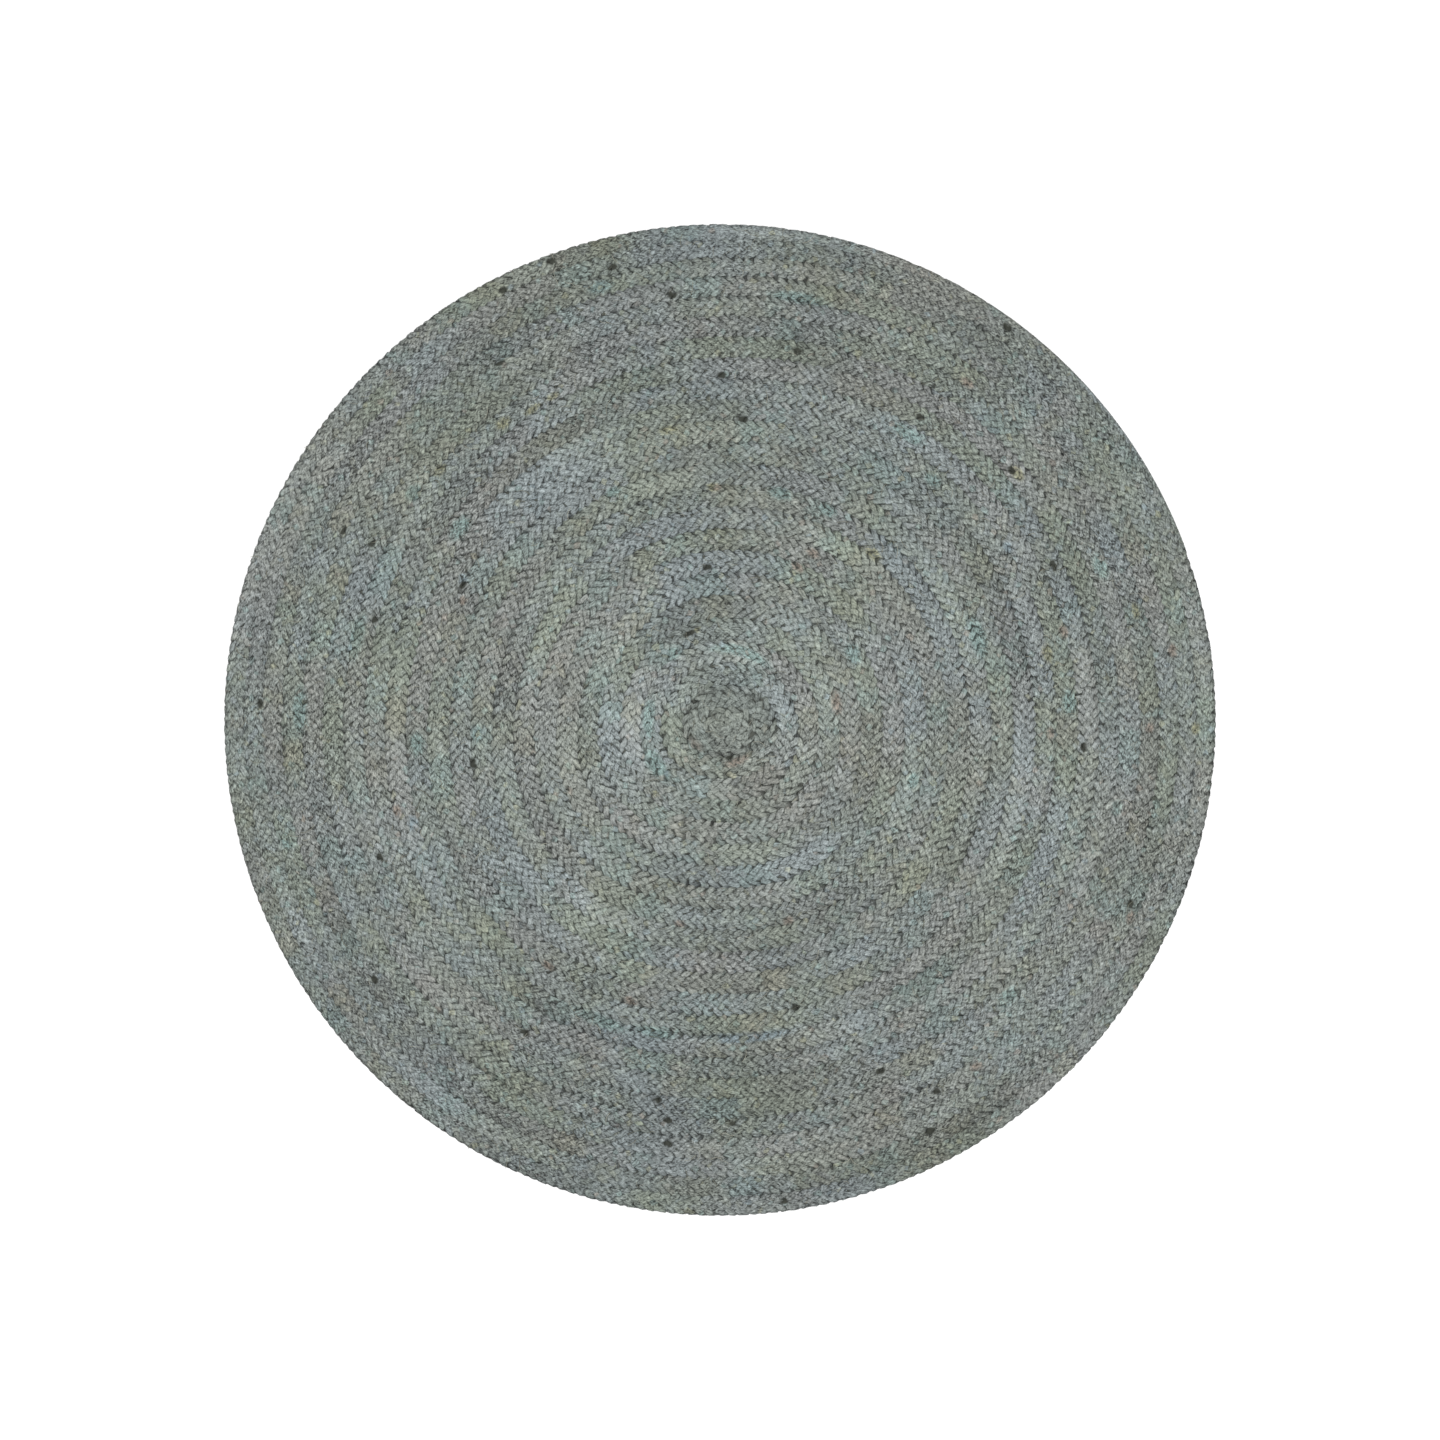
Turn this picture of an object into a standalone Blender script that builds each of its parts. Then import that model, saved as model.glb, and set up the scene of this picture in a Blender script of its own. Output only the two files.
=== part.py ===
"""A round jute rug: one long flat braid, coiled from the middle outwards and sewn edge to edge.

The rug lies on z = 0 with its middle at the origin. The braid is made as a long straight strip, a grid
of faces with a groove along each edge and a crest between them. The strip is then coiled in the plane,
so that each turn's inner edge meets the outer edge of the turn before it, and those edges are joined.
The outer side of the last row is rounded down to a flat underside.
"""

import math

import bmesh
import bpy

# Driving sizes, in metres.
RUG_DIAMETER = 1.2
THICKNESS = 0.010  # from the floor to the crest of a row
GROOVE_DEPTH = 0.0026  # how far the seam between two rows lies below their crests
RIM_ROUND = 0.0014  # how far the last row's top edge lies inside the full diameter
RIM_HEIGHT = 0.0046  # where the last row's side reaches the full diameter
RIM_FOOT = 0.0022  # how far its foot lies inside the full diameter

# The coil. One turn of the braid is one row.
TURNS = 24.25
END_TURNS = 0.3  # the length of the tapered outer end
CROWDING = 0.0433  # rows are this share wider than average in the middle, and narrower at the rim
END_DIRECTION = math.radians(20)  # where the outer end is sewn down, counter-clockwise from +X

# The coil was laid by hand: its middle is off centre, its core is oval, and its rows sway.
MIDDLE_X = 0.0051
MIDDLE_Y = -0.0080
CORE_OVAL = 0.0045  # how much further the core's rows reach along X, and less along Y
CORE_RADIUS = 0.045
SWAYS = (
    # waves in a turn, size in metres, turn of the wave from middle to rim, start in radians
    (2, 0.0009, 5.3, 2.9),
    (3, 0.0031, -1.26, 3.84),
    (4, 0.0030, -1.78, 5.88),
)

# The strip of faces.
STEPS_PER_TURN = 72
ACROSS = (
    # share of the row's width, height above the groove as a share of its depth
    (0.0, 0.0),
    (0.26, 1.0),
    (0.74, 1.0),
    (1.0, 0.0),
)

COIL_RADIUS = RUG_DIAMETER / 2 - RIM_ROUND
STEPS = round(TURNS * STEPS_PER_TURN)
MERGE_DISTANCE = 1e-6

JUTE_COLOUR = (0.206, 0.231, 0.213, 1.0)
JUTE_ROUGHNESS = 0.95


def clear_scene():
    for thing in list(bpy.data.objects):
        bpy.data.objects.remove(thing, do_unlink=True)


def end_taper(turn):
    """The braid's width as a share of its full width: 1, then down to 0 over its outer end."""
    left = min(max((TURNS - turn) / END_TURNS, 0.0), 1.0)
    return left * left * (3 - 2 * left)


def rows_to_rim(turn):
    """How many rows lie between the middle and the rim, in the direction that the braid has at a turn."""
    last_turn = TURNS - 1 + (turn - TURNS) % 1.0
    return last_turn - 1 + end_taper(last_turn)


def direction_of(turn):
    """The braid's direction from the middle, in radians. Seen from above it runs outwards clockwise."""
    return END_DIRECTION + 2 * math.pi * (TURNS - turn)


def sway(direction, share):
    """How far a row lies outside its even place, which fades to nothing at the middle and at the rim."""
    fade = 4 * share * (1 - share)
    waves = sum(
        size * math.sin(count * direction + twist * share + start)
        for count, size, twist, start in SWAYS
    )
    in_core = share * COIL_RADIUS / CORE_RADIUS
    oval = CORE_OVAL * in_core * math.exp(1 - in_core) * math.cos(2 * direction)
    return fade * waves + (1 - share) * oval


def coil_point(turn, rows_out):
    """The place in the plane that is a number of rows from the middle, beside the braid at a turn."""
    share = rows_out / rows_to_rim(turn)
    direction = direction_of(turn)
    radius = COIL_RADIUS * share * (1 + CROWDING - CROWDING * share**4)
    radius += sway(direction, share)
    lean = 1 - share * share
    x = MIDDLE_X * lean + radius * math.cos(direction)
    y = MIDDLE_Y * lean + radius * math.sin(direction)
    return x, y


def row_edges(turn):
    """How many rows from the middle the inner and outer edge of the braid lie at a turn."""
    inner = max(turn - 1, 0.0)
    outer = inner + end_taper(turn) if turn > 1 else turn
    return inner, outer


def coil_strip(rug):
    """Lays a flat grid, one column for each step along the braid, into the coil."""
    rows_across = len(ACROSS) - 1
    bmesh.ops.create_grid(rug, x_segments=STEPS, y_segments=rows_across, size=1.0)
    groove_height = THICKNESS - GROOVE_DEPTH
    for vertex in rug.verts:
        step = round((vertex.co.x + 1) / 2 * STEPS)
        share_across, rise = ACROSS[round((vertex.co.y + 1) / 2 * rows_across)]
        turn = step / STEPS_PER_TURN
        inner, outer = row_edges(turn)
        x, y = coil_point(turn, inner + (outer - inner) * share_across)
        height = groove_height + GROOVE_DEPTH * rise * min(end_taper(turn), turn, 1.0)
        vertex.co = (x, y, height)
    bmesh.ops.remove_doubles(rug, verts=rug.verts, dist=MERGE_DISTANCE)


def close_side_and_underside(rug):
    """Rounds the last row's side down from the strip's open rim, and closes the flat underside."""
    rim = [edge for edge in rug.edges if edge.is_boundary]
    for radius, height in (
        (RUG_DIAMETER / 2, RIM_HEIGHT),
        (RUG_DIAMETER / 2 - RIM_FOOT, 0.0),
    ):
        made = bmesh.ops.extrude_edge_only(rug, edges=rim)["geom"]
        rim = [item for item in made if isinstance(item, bmesh.types.BMEdge)]
        for vertex in {vertex for edge in rim for vertex in edge.verts}:
            scale = radius / math.hypot(vertex.co.x, vertex.co.y)
            vertex.co = (vertex.co.x * scale, vertex.co.y * scale, height)
    rim = [edge for edge in rug.edges if edge.is_boundary]
    bmesh.ops.holes_fill(rug, edges=rim, sides=0)
    bmesh.ops.recalc_face_normals(rug, faces=rug.faces)


def jute_material():
    material = bpy.data.materials.new("jute")
    material.use_nodes = True
    shader = material.node_tree.nodes["Principled BSDF"]
    shader.inputs["Base Color"].default_value = JUTE_COLOUR
    shader.inputs["Roughness"].default_value = JUTE_ROUGHNESS
    shader.inputs["Metallic"].default_value = 0.0
    return material


def build_rug():
    rug = bmesh.new()
    coil_strip(rug)
    close_side_and_underside(rug)
    mesh = bpy.data.meshes.new("braided_rug")
    rug.to_mesh(mesh)
    rug.free()
    mesh.shade_smooth()
    mesh.set_sharp_from_angle(angle=math.radians(40))
    mesh.materials.append(jute_material())
    collection = bpy.data.collections.new("round_jute_rug")
    bpy.context.scene.collection.children.link(collection)
    collection.objects.link(bpy.data.objects.new("braided_rug", mesh))


clear_scene()
build_rug()
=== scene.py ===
# %% [markdown]
# # A round braided jute rug
#
# The real rug is one thing: a long flat braid of five soft jute strands, coiled from the middle
# outwards and sewn edge to edge. The solid model gives its size and its rows. This script lays the
# five real strands over and under each other, all the way along the coil, and dyes them.
#
# The first step loads the solid model as a fixed frame and notes its box.

import math

import bmesh
import bpy
import numpy as np
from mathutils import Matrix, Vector


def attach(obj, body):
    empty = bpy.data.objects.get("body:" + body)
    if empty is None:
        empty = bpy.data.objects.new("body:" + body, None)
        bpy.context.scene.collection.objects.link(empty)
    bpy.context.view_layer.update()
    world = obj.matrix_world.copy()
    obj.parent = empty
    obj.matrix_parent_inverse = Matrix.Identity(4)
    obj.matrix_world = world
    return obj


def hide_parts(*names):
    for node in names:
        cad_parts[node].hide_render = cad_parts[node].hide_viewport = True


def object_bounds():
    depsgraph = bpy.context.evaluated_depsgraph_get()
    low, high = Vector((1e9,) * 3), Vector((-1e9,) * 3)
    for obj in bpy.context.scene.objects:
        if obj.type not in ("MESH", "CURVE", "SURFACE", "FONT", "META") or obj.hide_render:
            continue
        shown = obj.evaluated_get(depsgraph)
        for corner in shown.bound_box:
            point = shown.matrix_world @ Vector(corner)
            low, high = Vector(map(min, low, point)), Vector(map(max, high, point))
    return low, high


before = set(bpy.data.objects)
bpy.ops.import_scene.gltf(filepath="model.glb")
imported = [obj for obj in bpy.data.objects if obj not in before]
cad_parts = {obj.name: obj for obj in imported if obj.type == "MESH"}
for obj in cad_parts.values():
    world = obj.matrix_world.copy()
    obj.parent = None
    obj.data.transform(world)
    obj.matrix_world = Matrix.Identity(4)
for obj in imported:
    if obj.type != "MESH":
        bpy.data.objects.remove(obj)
cad_low, cad_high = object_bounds()
RUG_RADIUS = (cad_high.x - cad_low.x) / 2
THICKNESS = cad_high.z
MILLIMETRES = 1000  # in a metre
print(f"frame: a rug {2 * RUG_RADIUS:.3f} m across and {THICKNESS * MILLIMETRES:.1f} mm thick")

# %% [markdown]
# ## The coil
#
# Every turn of the braid is one row. The coil could be an even spiral, but a hand-laid one is not: its
# middle sits off centre, its core is oval and its rows sway. These are the same sizes and the same
# formulas as in the solid model, so the strands lie exactly on the solid's rows.

# %% The coil's sizes
TURNS = 24.25
END_TURNS = 0.3  # the length of the tapered outer end
CROWDING = 0.0433  # rows are this share wider than average in the middle, and narrower at the rim
END_DIRECTION = math.radians(20)  # where the outer end is sewn down, counter-clockwise from +X
RIM_ROUND = 0.0014  # how far the last row's top edge lies inside the full radius
MIDDLE_X = 0.0051
MIDDLE_Y = -0.0080
CORE_OVAL = 0.0045  # how much further the core's rows reach along X, and less along Y
CORE_RADIUS = 0.045
SWAYS = (
    # waves in a turn, size in metres, turn of the wave from middle to rim, start in radians
    (2, 0.0009, 5.3, 2.9),
    (3, 0.0031, -1.26, 3.84),
    (4, 0.0030, -1.78, 5.88),
)
COIL_RADIUS = RUG_RADIUS - RIM_ROUND


# %% The coil's formulas
def end_taper(turn):
    """The braid's width as a share of its full width: 1, then down to 0 over its outer end."""
    left = min(max((TURNS - turn) / END_TURNS, 0.0), 1.0)
    return left * left * (3 - 2 * left)


def rows_to_rim(turn):
    """How many rows lie between the middle and the rim, in the direction that the braid has at a turn."""
    last_turn = TURNS - 1 + (turn - TURNS) % 1.0
    return last_turn - 1 + end_taper(last_turn)


def direction_of(turn):
    """The braid's direction from the middle, in radians. Seen from above it runs outwards clockwise."""
    return END_DIRECTION + 2 * math.pi * (TURNS - turn)


def sway(direction, share):
    """How far a row lies outside its even place, which fades to nothing at the middle and at the rim."""
    fade = 4 * share * (1 - share)
    waves = sum(
        size * math.sin(count * direction + twist * share + start)
        for count, size, twist, start in SWAYS
    )
    in_core = share * COIL_RADIUS / CORE_RADIUS
    oval = CORE_OVAL * in_core * math.exp(1 - in_core) * math.cos(2 * direction)
    return fade * waves + (1 - share) * oval


def coil_point(turn, rows_out):
    """The place in the plane that is a number of rows from the middle, beside the braid at a turn."""
    share = rows_out / rows_to_rim(turn)
    direction = direction_of(turn)
    radius = COIL_RADIUS * share * (1 + CROWDING - CROWDING * share**4)
    radius += sway(direction, share)
    lean = 1 - share * share
    x = MIDDLE_X * lean + radius * math.cos(direction)
    y = MIDDLE_Y * lean + radius * math.sin(direction)
    return Vector((x, y, 0.0))


def row_edges(turn):
    """How many rows from the middle the inner and outer edge of the braid lie at a turn."""
    inner = max(turn - 1, 0.0)
    outer = inner + end_taper(turn) if turn > 1 else turn
    return inner, outer


print(f"coil: {TURNS} turns, {rows_to_rim(TURNS - 0.5):.2f} rows from the middle to the rim")

# %% [markdown]
# ## Helpers for node trees
#
# Both the shapes and the finishes here are node trees. Wired one node at a time they are hard to read,
# so a `Wire` is one output socket that can be added, multiplied and so on like a number, which adds the
# Math nodes. `Tree.node` adds any other node from its type, its settings and its inputs, and a few
# short methods stand for the nodes that are used most.


# %% Wires
class Wire:
    """One output socket, which can be reckoned with like a number."""

    def __init__(self, tree, socket):
        self.tree = tree
        self.socket = socket

    def maths(self, operation, *others):
        values = dict(enumerate((self, *others)))
        return self.tree.node("ShaderNodeMath", {"operation": operation}, values)[0]

    def __add__(self, other):
        return self.maths("ADD", other)

    def __radd__(self, other):
        return self.maths("ADD", other)

    def __sub__(self, other):
        return self.maths("SUBTRACT", other)

    def __rsub__(self, other):
        return self.tree.value(other).maths("SUBTRACT", self)

    def __mul__(self, other):
        return self.maths("MULTIPLY", other)

    def __rmul__(self, other):
        return self.maths("MULTIPLY", other)

    def __truediv__(self, other):
        return self.maths("DIVIDE", other)

    def __mod__(self, other):
        return self.maths("FLOORED_MODULO", other)

    def size(self):
        return self.maths("ABSOLUTE")

    def at_least(self, other):
        return self.maths("MAXIMUM", other)

    def between(self, low, high):
        """0 below low, 1 above high, and a soft step from one to the other."""
        settings = {"interpolation_type": "SMOOTHSTEP"}
        inputs = {"Value": self, "From Min": low, "From Max": high}
        return self.tree.node("ShaderNodeMapRange", settings, inputs)[0]


# %% Trees
def find_socket(sockets, name):
    for socket in sockets:
        if socket.enabled and name in (socket.name, socket.identifier):
            return socket
    raise KeyError(f"no socket named {name!r}")


class Made:
    """A node that was added, whose outputs are wires, found by name or by number."""

    def __init__(self, tree, node):
        self.tree = tree
        self.node = node

    def __getitem__(self, name):
        if isinstance(name, int):
            return Wire(self.tree, self.node.outputs[name])
        return Wire(self.tree, find_socket(self.node.outputs, name))


class Tree:
    """A node tree that nodes are added to."""

    def __init__(self, tree):
        self.tree = tree

    def feed(self, socket, value):
        """Links a wire to a socket, or sets the socket to a plain value."""
        if isinstance(value, Wire):
            self.tree.links.new(value.socket, socket)
        else:
            socket.default_value = value

    def node(self, kind, settings=None, inputs=None):
        made = self.tree.nodes.new(kind)
        for name, value in (settings or {}).items():
            setattr(made, name, value)
        for name, value in (inputs or {}).items():
            socket = made.inputs[name] if isinstance(name, int) else find_socket(made.inputs, name)
            self.feed(socket, value)
        return Made(self, made)

    def value(self, number):
        made = self.node("ShaderNodeValue")
        made.node.outputs[0].default_value = number
        return made[0]

    def vector(self, x, y, z):
        return self.node("ShaderNodeCombineXYZ", None, {"X": x, "Y": y, "Z": z})[0]

    def parts(self, vector):
        return self.node("ShaderNodeSeparateXYZ", None, {"Vector": vector})

    def vector_maths(self, operation, inputs):
        return self.node("ShaderNodeVectorMath", {"operation": operation}, inputs)

    def mix(self, share, first, second):
        settings = {"data_type": "RGBA"}
        inputs = {"Factor": share, "A": first, "B": second}
        return self.node("ShaderNodeMix", settings, inputs)["Result"]


def radius_of(tree, rug_place):
    """How far a place lies from the rug's middle, in metres."""
    place = tree.parts(rug_place)
    flat = tree.vector(place["X"], place["Y"], 0.0)
    return tree.vector_maths("LENGTH", {"Vector": flat})["Value"]


# %% Materials
def new_material(name):
    """A material, its tree and its shader."""
    material = bpy.data.materials.new(name)
    material.use_nodes = True
    return material, Tree(material.node_tree), material.node_tree.nodes["Principled BSDF"]


def finish_shader(tree, shader, finish):
    for name, value in finish.items():
        tree.feed(shader.inputs[name], value)


# %% [markdown]
# ## Floor, light and camera
#
# The rug lies on a plain pale floor under a wide soft light, and the camera looks straight down, so
# that the rug's round outline fills the same share of the picture as in the photograph.

# %% The stage
PICTURE_PIXELS = 1440
RUG_PIXELS = 991.3
LENS = 0.085
SENSOR = 0.036
FLOOR_SIZE = 14.0
FLOOR_GAP = 0.0002  # below the rug, so that the two faces don't fight
FLOOR_WHITE = (0.92, 0.92, 0.92, 1.0)
FLOOR_ROUGHNESS = 0.9
WORLD_WHITE = (1.0, 1.0, 1.0, 1.0)
WORLD_STRENGTH = 0.32
SOFT_BOX_SIZE = (1.2, 5.0)
SOFT_BOX_PLACE = (0.05, -0.1, 2.8)
SOFT_BOX_WATTS = 162.0


def added(name, data):
    """A new object in the scene."""
    made = bpy.data.objects.new(name, data)
    bpy.context.scene.collection.objects.link(made)
    return made


def build_floor():
    mesh = bpy.data.meshes.new("floor")
    plane = bmesh.new()
    bmesh.ops.create_grid(plane, x_segments=1, y_segments=1, size=FLOOR_SIZE / 2)
    bmesh.ops.translate(plane, verts=plane.verts, vec=(0, 0, -FLOOR_GAP))
    plane.to_mesh(mesh)
    plane.free()
    material, tree, shader = new_material("pale_floor")
    finish_shader(tree, shader, {"Base Color": FLOOR_WHITE, "Roughness": FLOOR_ROUGHNESS})
    mesh.materials.append(material)
    floor = added("floor", mesh)
    return floor


def build_light():
    world = bpy.data.worlds.new("studio")
    world.use_nodes = True
    background = world.node_tree.nodes["Background"]
    background.inputs["Color"].default_value = WORLD_WHITE
    background.inputs["Strength"].default_value = WORLD_STRENGTH
    bpy.context.scene.world = world
    lamp = bpy.data.lights.new("soft_box", "AREA")
    lamp.shape = "RECTANGLE"
    lamp.size, lamp.size_y = SOFT_BOX_SIZE
    lamp.energy = SOFT_BOX_WATTS
    holder = added("soft_box", lamp)
    holder.location = SOFT_BOX_PLACE
    holder.rotation_euler = (-holder.location).to_track_quat("-Z", "Y").to_euler()
    holder.visible_camera = False


def build_camera():
    camera = bpy.data.cameras.new("camera")
    camera.lens = LENS * MILLIMETRES
    camera.sensor_width = SENSOR * MILLIMETRES
    view_width = 2 * RUG_RADIUS * PICTURE_PIXELS / RUG_PIXELS
    holder = added("camera", camera)
    holder.location = (0.0, 0.0, THICKNESS / 2 + view_width * LENS / SENSOR)
    bpy.context.scene.camera = holder
    print(f"camera: {holder.location.z:.2f} m above the rug, view {view_width:.3f} m wide")


floor = build_floor()
build_light()
build_camera()
bpy.context.scene.view_settings.view_transform = "Standard"

# %% [markdown]
# ## The heart of the rug
#
# Between the upper and the lower crossings of the strands the real braid is packed with fibre, and the
# sewing pulls the rows together, so no light comes through. A plain disc would do, but a copy of the
# solid model, pressed thin at half its height and drawn in a little at the rim, keeps its rows. It is
# the sheet that the strands lie on.

# %% The heart
HEART_SHARE = 0.2  # of the rug's thickness
HEART_INSET = 0.0005
MERGE_DISTANCE = 1e-6


def build_heart():
    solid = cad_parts["braided_rug"]
    heart = bmesh.new()
    heart.from_mesh(solid.data)
    bmesh.ops.remove_doubles(heart, verts=heart.verts, dist=MERGE_DISTANCE)
    shrink = 1 - HEART_INSET / RUG_RADIUS
    for vertex in heart.verts:
        height = THICKNESS / 2 + (vertex.co.z - THICKNESS / 2) * HEART_SHARE
        vertex.co = (vertex.co.x * shrink, vertex.co.y * shrink, height)
    mesh = bpy.data.meshes.new("rug_heart")
    heart.to_mesh(mesh)
    heart.free()
    mesh.shade_smooth()
    return added("rug_heart", mesh)


heart = build_heart()
print(f"heart: {len(heart.data.polygons)} faces")

# %% [markdown]
# ## The line of the braid
#
# The strands need a line to follow. A curve with straight pieces runs along the middle of the braid,
# from the core to the outer end, and each point's radius holds half the width of the row there.

# %% The line
POINTS_IN_TURN = 96


def build_line():
    curve = bpy.data.curves.new("braid_line", "CURVE")
    curve.dimensions = "3D"
    spline = curve.splines.new("POLY")
    spline.points.add(round(TURNS * POINTS_IN_TURN))
    length = 0.0
    before = None
    for index, point in enumerate(spline.points):
        turn = index / POINTS_IN_TURN
        inner, outer = (coil_point(turn, rows) for rows in row_edges(turn))
        middle = (inner + outer) / 2
        point.co = (*middle, 1.0)
        point.radius = (outer - inner).length / 2
        length += (middle - before).length if before else 0.0
        before = middle
    return added("braid_line", curve), length


line, braid_length = build_line()
print(f"braid: {braid_length:.2f} m long")

# %% [markdown]
# ## The five strands
#
# In a flat braid of five, every strand runs slantwise from one edge to the other and back, over one
# strand and under the next. So its sideways place is a wave with straight flanks, and its height is a
# faster wave that is up at one crossing and down at the next. Geometry Nodes lay a strand that way
# along the braid's line, as a curve with a flattened six-sided outline. One tree serves all five,
# because they differ only in how far along the wave they start.
#
# Distances in the weave are counted in crossings: neighbouring crossings lie one fifth of the row's
# width apart, and a strand comes back to its start after ten of them.

# %% The strands' sizes
STRANDS = 5
CROSSINGS_IN_WAVE = 2 * STRANDS
CROSSINGS_IN_STITCH = 2
CROSSINGS_APART = 2  # from where one strand starts in the wave to where the next one does
ROW_EDGE = STRANDS / 2  # from the row's middle, in crossings
STITCH = 0.0122  # from one stitch to the next, along a row
ROW_WIDTH = 0.0252
RINGS_IN_CROSSING = 2
STRAND_WIDTH = 0.0083
STRAND_THICKNESS = 0.0056
STRAND_SIDES = 6
STRAND_RISE = 0.0024  # how far a crossing lifts the strand's middle
print(f"weave: about {round(STRANDS * braid_length / STITCH, -2):.0f} stitches on top of the rug")


# %% Helpers for the trees of shapes
def new_group(name, inputs):
    """An empty Geometry Nodes tree with named inputs, each (name, socket type, default)."""
    group = bpy.data.node_groups.new(name, "GeometryNodeTree")
    for label, kind, default in inputs:
        socket = group.interface.new_socket(label, in_out="INPUT", socket_type=kind)
        if default is not None:
            socket.default_value = default
    group.interface.new_socket("Geometry", in_out="OUTPUT", socket_type="NodeSocketGeometry")
    return group


def finish_group(tree, geometry, material):
    realised = tree.node("GeometryNodeRealizeInstances", None, {"Geometry": geometry})[0]
    finished = tree.node("GeometryNodeSetMaterial", None, {"Geometry": realised, "Material": material})
    tree.node("NodeGroupOutput", None, {"Geometry": finished[0]})


def place_now(tree):
    return tree.node("GeometryNodeInputPosition")[0]


def placed(tree, geometry, place):
    return tree.node("GeometryNodeSetPosition", None, {"Geometry": geometry, "Position": place})[0]


def stored(tree, geometry, name, value, kind="FLOAT"):
    """The shape with a value kept on each of its points, for the finish to read."""
    settings = {"data_type": kind, "domain": "POINT"}
    inputs = {"Geometry": geometry, "Name": name, "Value": value}
    return tree.node("GeometryNodeStoreNamedAttribute", settings, inputs)[0]


# %% [markdown]
# A strand starts as a straight row of points, one for each ring of its skin. How far along the braid a
# point belongs says where it is in the wave, and that says how far sideways and up it goes.


# %% The weave
def straight_row(tree, given):
    """A straight row of points, and how far along the braid each of them belongs."""
    step = given["Stitch"] / (CROSSINGS_IN_STITCH * RINGS_IN_CROSSING)
    rings = (given["Length"] / step).maths("FLOOR") + 1
    row = {"Count": rings, "Offset": tree.vector(step, 0.0, 0.0)}
    row = tree.node("GeometryNodeMeshLine", None, row)[0]
    points = tree.node("GeometryNodeMeshToCurve", None, {"Mesh": row})[0]
    points = stored(tree, points, "along", tree.parts(place_now(tree))["X"])
    along = tree.node("GeometryNodeInputNamedAttribute", {"data_type": "FLOAT"}, {"Name": "along"})[0]
    return points, along


def weave(given, along):
    """The strand's place, in crossings from the row's middle, and its lift: 1 on top, -1 underneath."""
    crossings = along / (given["Stitch"] / CROSSINGS_IN_STITCH) + given["Strand"] * CROSSINGS_APART
    zigzag = ROW_EDGE - ((crossings % CROSSINGS_IN_WAVE) - STRANDS).size()
    phase = (crossings - 1) % STRANDS
    slow_turn = (phase - (STRANDS - 2)).at_least(0.0) / 2
    lift = ((phase - slow_turn) * math.pi).maths("COSINE")
    return zigzag, lift


# %% [markdown]
# Hands make no two stitches alike. Noise along the strand, finer than its rings lie apart, makes each
# ring stray a little. Moving the points before the skin is made keeps every ring whole.

# %% What hands leave uneven
HAND_SCALE = 5.0  # times the waves below gives the noise's waves in a metre
HAND_WAVES = 90
HAND_START = 37  # each strand has its own part of the noise
SLIDE_WAVES = 60
SLIDE_START = 53
SLIDE = 1.0  # how far along the row a stitch may be pulled, as a share of a stitch


def hand_noise(tree, given, along, waves, start):
    inputs = {"W": along * waves + given["Strand"] * start, "Scale": HAND_SCALE, "Detail": 1.0}
    return tree.node("ShaderNodeTexNoise", {"noise_dimensions": "1D"}, inputs)


def strayed(tree, given, along):
    """How far a ring strays sideways, in fullness and in height, around 0, and along the braid."""
    uneven = hand_noise(tree, given, along, HAND_WAVES, HAND_START)
    tones = tree.node("FunctionNodeSeparateColor", None, {"Color": uneven["Color"]})
    drift, fullness, heave = (tones[name] - 0.5 for name in ("Red", "Green", "Blue"))
    slide = hand_noise(tree, given, along, SLIDE_WAVES, SLIDE_START)["Fac"]
    return drift, fullness, heave, (slide - 0.5) * (given["Stitch"] * SLIDE)


# %% [markdown]
# The braid's line gives each point its place, its outward direction and half the row's width. The strand
# doesn't reach the row's edge in a sharp point: it turns back softly, a little inside it.

# %% On the braid's line
EDGE_REACH = 2.36  # how far out the strand turns back, in crossings from the row's middle
EDGE_ROUND = 0.4  # how softly it turns back, in crossings
NEAR_EDGE = (1.5, 2.5)  # in crossings from the row's middle
DRIFT = 0.42  # how far sideways a ring may stray, as a share of half the row's width
DRIFT_HELD = 0.3  # the sewing holds this much of it back at the row's edge
HEAVE = 0.6  # how much the height of a crossing may vary, as a share of it
FULLNESS = 0.8  # a strand's radius halfway between two crossings, as a share of its full radius
FULLER_CROSSING = 0.22
THINNER_EDGE = 0.04
FULLNESS_STRAY = 0.5
KEEP_FLAT = (1, 1, 0)  # takes a place's height away


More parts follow.
